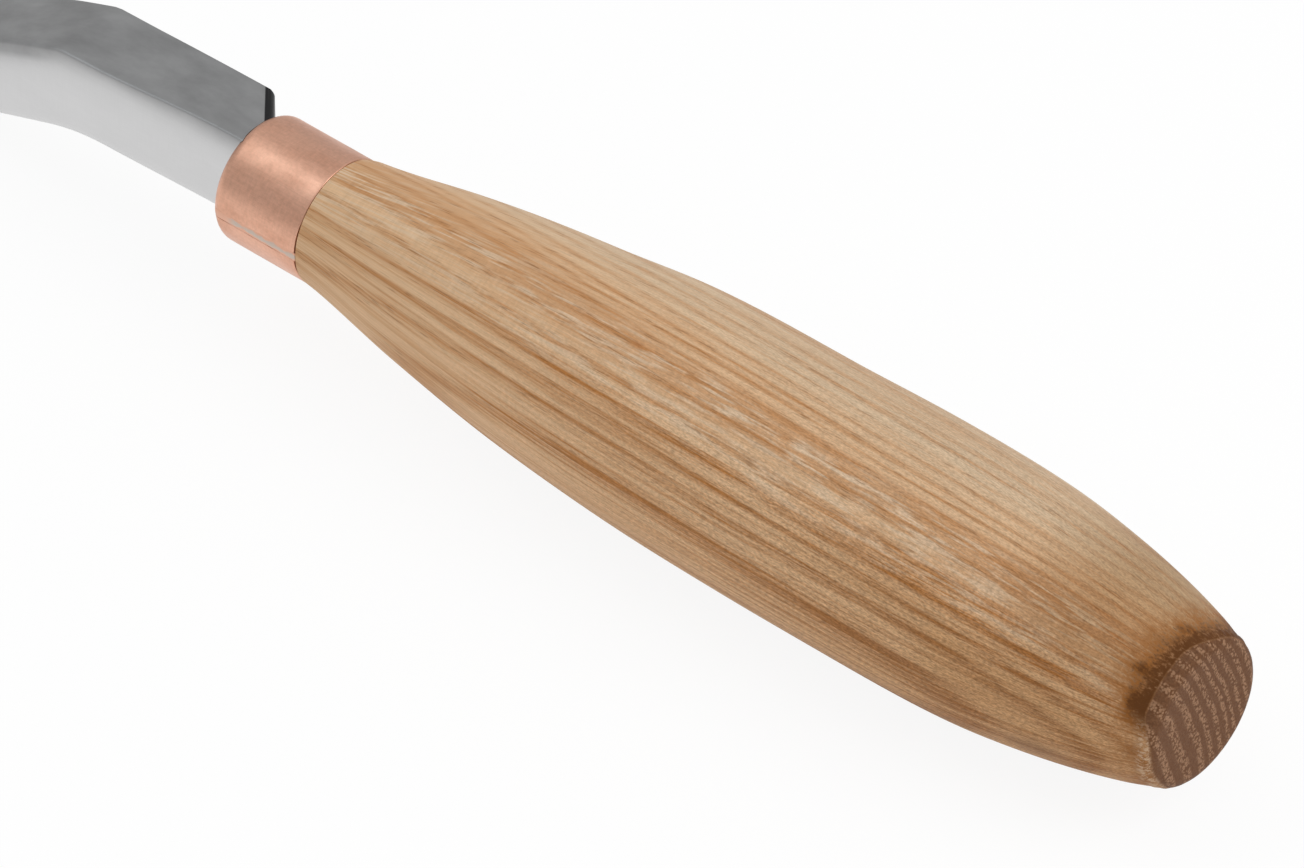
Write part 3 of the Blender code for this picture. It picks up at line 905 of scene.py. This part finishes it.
def end_grain(here, ring, sizes):
    """Colour of the sawn butt face: dotted pale pores along each ring."""
    dots = here.new("TexVoronoi", {"Vector": here, "Scale": 3.4 / MM}, "Distance")
    pores = (ring.step(0.28, 0.80) + 0.12) * dots.step(0.70, 0.34) * 0.85
    cells = here.speckle(1.0, 5.0, 2.0, 0.6)
    return cells.tint(pores.blend(sizes.end_wood, sizes.end_pores), 0.78, 1.26)


def near_spot(here, spot, reach):
    """1 at one spot on the handle, fading to 0 round it, slowest along the grain."""
    away = here.vector("SUBTRACT", spot).vector("MULTIPLY", (0.4, 1.0, 1.0)).vector("LENGTH")
    return away.step(reach, 0.2 * reach)


def scorched(here, upper, rolled, wood, sizes):
    """The wood with its scorched rim: a ragged dark line on the upper side, and a brown haze before it."""
    smoke = here.speckle(1.4, 3.0, 3.0, 0.65)
    patches = here.speckle(0.10, 0.32, 2.0, 0.5).step(0.45, 0.66)
    off_face = rolled.step(0.5, 0.8)
    halo = rolled.within(0.4, 1.0, 1.8, 7.0)
    haze = (halo * (smoke.step(0.30, 0.60) + patches * 0.6) * (upper * 0.35 + 0.6)).clamped()
    torn = rolled.step(2.6, 1.3) * off_face * smoke.step(0.46, 0.62) * (1.0 - upper * 0.7)
    frayed = rolled + smoke.swing(6.5) - patches * 1.2
    burnt = frayed.step(3.5, 0.9) * off_face * (upper * 0.85 + 0.12)
    return painted(wood, (haze, sizes.haze), (torn * 0.5, sizes.fleck), (burnt, sizes.burn))


def ash_material(sizes):
    """Oiled ash: growth rings, pores and flecks, cut end grain and a scorched rim."""
    material, shader, here = new_material("ash")
    place, along = ring_place(here)
    ring = ring_ramp(place)
    wood, fibre, pore = ash_grain(here, place, along, ring, sizes)
    bruise = near_spot(here, BRUISE_SPOT, 0.6 * MM) * 0.7
    stain = near_spot(here, STAIN_SPOT, 2.6 * MM) * 0.4
    upper = place.step(6.8, 4.2)
    rolled = along + 0.4 - upper * (place.step(-7.5, -3.0) * 0.75 + 0.4)
    ends = rolled.step(1.0, 0.5).larger(along.step(129.5, 130.5))
    cut = end_grain(here, ring, sizes)
    wood = painted(wood, (bruise, sizes.bruise), (stain, sizes.end_wood), (ends, cut))
    feed(shader, {
        "Base Color": scorched(here, upper, rolled, wood, sizes),
        "Roughness": fibre.remap(GLOSS_SPREAD, 0.62, 0.48),
        "Specular IOR Level": 0.1,
        "Normal": (fibre * 0.5 - pore).bump(0.3, 0.06 * MM),
    })
    return material


def scratch_group():
    """Fine marks along and round a metal piece, with a softer cloudiness under them."""
    group = bpy.data.node_groups.get("metal_marks")
    if group:
        return group
    group = bpy.data.node_groups.new("metal_marks", "ShaderNodeTree")
    face = group.interface
    face.new_socket("Coordinates", in_out="INPUT", socket_type="NodeSocketVector")
    face.new_socket("Marks", in_out="OUTPUT", socket_type="NodeSocketFloat")
    face.new_socket("Clouds", in_out="OUTPUT", socket_type="NodeSocketFloat")
    source = Field(group.nodes.new("NodeGroupInput").outputs["Coordinates"])
    along = source.speckle(0.12, 7.0, 2.0, 0.6)
    around = source.speckle(6.0, 0.35, 2.0, 0.6)
    clouds = source.speckle(0.16, 0.3, 4.0, 0.6)
    feed(group.nodes.new("NodeGroupOutput"), {"Marks": along * 0.6 + around * 0.4, "Clouds": clouds})
    return group


def new_metal(name):
    """A metal's material, shader and coordinates, with its fine marks and its clouds."""
    material, shader, here = new_material(name)
    shader.inputs["Metallic"].default_value = 1.0
    made = add(material.node_tree, "Group", {"Coordinates": here}, node_tree=scratch_group())
    return material, shader, here, Field(made.outputs["Marks"]), Field(made.outputs["Clouds"])


def copper_material(sizes):
    """Satin copper, a little tarnished in clouds."""
    material, shader, here, marks, clouds = new_metal("copper")
    grit = here.speckle(2.4, 2.4, 3.0, 0.65)
    rubs = here.speckle(0.25, 0.9, 3.0, 0.6)
    shine = (clouds.step(0.42, 0.70) * 0.35).blend(sizes.copper, sizes.tarnish)
    feed(shader, {
        "Base Color": grit.tint(marks.tint(shine, 0.90, 1.10), 0.90, 1.10),
        "Roughness": marks.remap(GLOSS_SPREAD, 0.34, 0.46) + clouds.swing(0.35),
        "Normal": (marks + clouds + rubs).bump(0.25, 0.06 * MM),
    })
    return material


def solder_material(sizes):
    """Dull grey solder along the middle of the seam, with copper rubbed over its edges and front."""
    material, shader, here, marks, clouds = new_metal("solder")
    from_seam = here.part("Z") - FERRULE_HIGH.y * math.sin(sizes.seam_angle)
    ragged = here.speckle(0.7, 1.2, 3.0, 0.6).swing(1.1 * MM)
    edges = (from_seam.math("ABSOLUTE", from_seam) + ragged).step(0.16 * MM, 0.40 * MM)
    front = here.part("X").step(FERRULE_HIGH.x - 3.8 * MM, FERRULE_HIGH.x - 2.2 * MM)
    rubbed = edges.larger(front * 0.9)
    feed(shader, {
        "Base Color": painted(sizes.solder, (clouds * 0.3, sizes.tarnish), (rubbed, sizes.copper)),
        "Roughness": marks.remap(GLOSS_SPREAD, 0.42, 0.56),
        "Normal": clouds.bump(0.15, 0.05 * MM),
    })
    return material


def steel_material(sizes):
    """Steel ground bright on its sides, with painted shade darkening its top, and near-black on the cut
    shoulder.
    """
    material, shader, here, marks, clouds = new_metal("steel")
    outward = shoulder_normal(sizes)
    face = outward.dot(shoulder_hinge(sizes))
    # 1 past the plane of the cut shoulder, where the steel turns near-black.
    scale = here.vector("DOT_PRODUCT", outward).step(face + 0.02 * MM, face + 0.16 * MM)
    ground = here.new("Attribute", {}, "Fac", attribute_name="ground")
    # Where the bright share is low, the darker top colour paints shade into the steel.
    steel = ground.blend(clouds.tint(sizes.shaded_top, 0.86, 1.14), sizes.steel)
    steel = marks.tint(clouds.tint(steel, 0.98, 1.02), 0.97, 1.03)
    feed(shader, {
        "Base Color": scale.blend(steel, sizes.scale),
        "Roughness": marks.remap(GLOSS_SPREAD, 0.50, 0.58) - ground * 0.22,
        "Normal": marks.bump(0.05, 0.02 * MM),
    })
    return material


def emptied(owner):
    """The node tree of a material or a world, with no nodes left in it."""
    owner.use_nodes = True
    owner.node_tree.nodes.clear()
    return owner.node_tree


def floor_material(sizes):
    """White that keeps a faint shadow, and lets a camera under it see through."""
    material = bpy.data.materials.new("white_floor")
    tree = emptied(material)
    rays = add(tree, "LightPath").outputs
    glossy, through = Field(rays["Is Glossy Ray"]), Field(rays["Is Transmission Ray"])
    lit = Field(rays["Is Camera Ray"]).larger(glossy).larger(through) * sizes.floor_light
    away = Field(add(tree, "TexCoord").outputs["Object"]).vector("DISTANCE", POOL_SPOT)
    # In reflections the floor glows brighter near the tool than further out: a painted pool of light.
    strength = glossy * 0.06 + 1.0 - away.step(sizes.pool, 2 * sizes.pool) * 0.4 * glossy
    white = (*sizes.white, 1.0)
    matte = lit.new("BsdfDiffuse", {"Color": white})
    glow = lit.new("Emission", {"Color": white, "Strength": strength})
    above = lit.new("MixShader", {0: lit, 1: matte, 2: glow})
    below = lit.new("BsdfTransparent", {})
    behind = lit.new("NewGeometry", {}, "Backfacing")
    add(tree, "OutputMaterial", {"Surface": lit.new("MixShader", {0: behind, 1: above, 2: below})})
    return material


def room(sizes):
    """A dim room, lightest high up behind the tool, that the camera itself sees as white."""
    world = bpy.data.worlds.new("room")
    tree = emptied(world)
    direction = Field(add(tree, "TexCoord").outputs["Generated"])
    seen = Field(add(tree, "LightPath").outputs["Is Camera Ray"])
    foot, far, near = ([grey] * 3 for grey in (sizes.far_foot, sizes.far_wall, sizes.near_wall))
    rise, side = direction.part("Z").step(-0.05, 0.55), direction.part("Y").step(-0.35, 0.55)
    shown = painted(foot, (rise, far), (side, near), (seen, sizes.white))
    back = seen.new("Background", {"Color": shown, "Strength": 1.0})
    add(tree, "OutputWorld", {"Surface": back})
    return world


def soft_box(name, towards, distance, size, brightness, tint=(1.0, 1.0, 1.0)):
    """A square soft light that faces the middle of the tool."""
    light = bpy.data.lights.new(name, "AREA")
    light.size = size
    light.energy = 4 * size * size * brightness
    light.color = tint
    lamp = placed(name, light)
    middle = (Vector(CAD_BOX[0]) + Vector(CAD_BOX[1])) / 2
    away = Vector(towards).normalized()
    lamp.location = middle + away * distance
    lamp.rotation_euler = away.to_track_quat("Z", "Y").to_euler()


def photo_camera(sizes):
    """The photograph's camera: its lens, and its place from one pixel of the picture."""
    turn, rise = sizes.azimuth, sizes.elevation
    back = Vector((math.sin(turn) * math.cos(rise), -math.cos(turn) * math.cos(rise), math.sin(rise)))
    right = Vector((math.cos(turn), math.sin(turn), 0.0))
    up = back.cross(right)
    camera = bpy.data.cameras.new("camera")
    camera.sensor_width = 36.0
    camera.lens = sizes.focal_pixels / IMAGE_WIDTH * camera.sensor_width
    eye = placed("camera", camera)
    per_pixel = sizes.distance / sizes.focal_pixels
    aside = right * (COLLAR_PIXEL[0] - IMAGE_WIDTH / 2) * per_pixel
    above = up * (COLLAR_PIXEL[1] - IMAGE_HEIGHT / 2) * per_pixel
    eye.location = Vector((HANDLE_LENGTH, 0.0, 0.0)) - aside + above + back * sizes.distance
    eye.rotation_euler = Matrix((right, up, back)).transposed().to_euler()
    bpy.context.scene.camera = eye


class GOUGE_OT_stage(bpy.types.Operator):
    """Builds the white floor, the room, the soft lights and the camera"""

    bl_idname = "gouge.stage"
    bl_label = "White stage"

    def execute(self, context):
        sizes = context.scene.gouge_stage
        shape = bmesh.new()
        bmesh.ops.create_grid(shape, x_segments=1, y_segments=1, size=sizes.floor_size)
        bmesh.ops.translate(shape, verts=shape.verts, vec=(0.0, 0.0, CAD_BOX[0][2]))
        floor = solid("floor", shape, floor_material(sizes))
        context.scene.world = room(sizes)
        cool = (0.87, 0.955, 1.0)
        soft_box("overhead", (0.49, 0.18, 0.855), distance=0.9, size=0.46, brightness=0.99, tint=cool)
        soft_box("window", (-0.72, -0.22, 0.66), distance=1.2, size=0.8, brightness=2.2)
        photo_camera(sizes)
        context.scene.view_settings.view_transform = "Standard"
        return {"FINISHED"}


class GOUGE_PT_panel(bpy.types.Panel):
    """Lists the pieces of the gouge and its stage"""

    bl_idname = "GOUGE_PT_panel"
    bl_label = "Bent gouge"
    bl_space_type = "VIEW_3D"
    bl_region_type = "UI"
    bl_category = "Gouge"

    def draw(self, context):
        for operator in OPERATORS:
            self.layout.operator(operator.bl_idname)


OPERATORS = (GOUGE_OT_handle, GOUGE_OT_ferrule, GOUGE_OT_seam, GOUGE_OT_blade, GOUGE_OT_stage)
SETTINGS = {
    "gouge_handle": GougeHandleSettings,
    "gouge_ferrule": GougeFerruleSettings,
    "gouge_blade": GougeBladeSettings,
    "gouge_stage": GougeStageSettings,
}
CLASSES = (*SETTINGS.values(), *OPERATORS, GOUGE_PT_panel)


def register():
    for item in CLASSES:
        bpy.utils.register_class(item)
    for name, settings in SETTINGS.items():
        setattr(bpy.types.Scene, name, PointerProperty(type=settings))


def unregister():
    for name in SETTINGS:
        delattr(bpy.types.Scene, name)
    for item in reversed(CLASSES):
        bpy.utils.unregister_class(item)


def main():
    register()
    bpy.ops.gouge.handle()
    bpy.ops.gouge.ferrule()
    bpy.ops.gouge.seam()
    bpy.ops.gouge.blade()
    bpy.ops.gouge.stage()


if __name__ == "__main__":
    main()
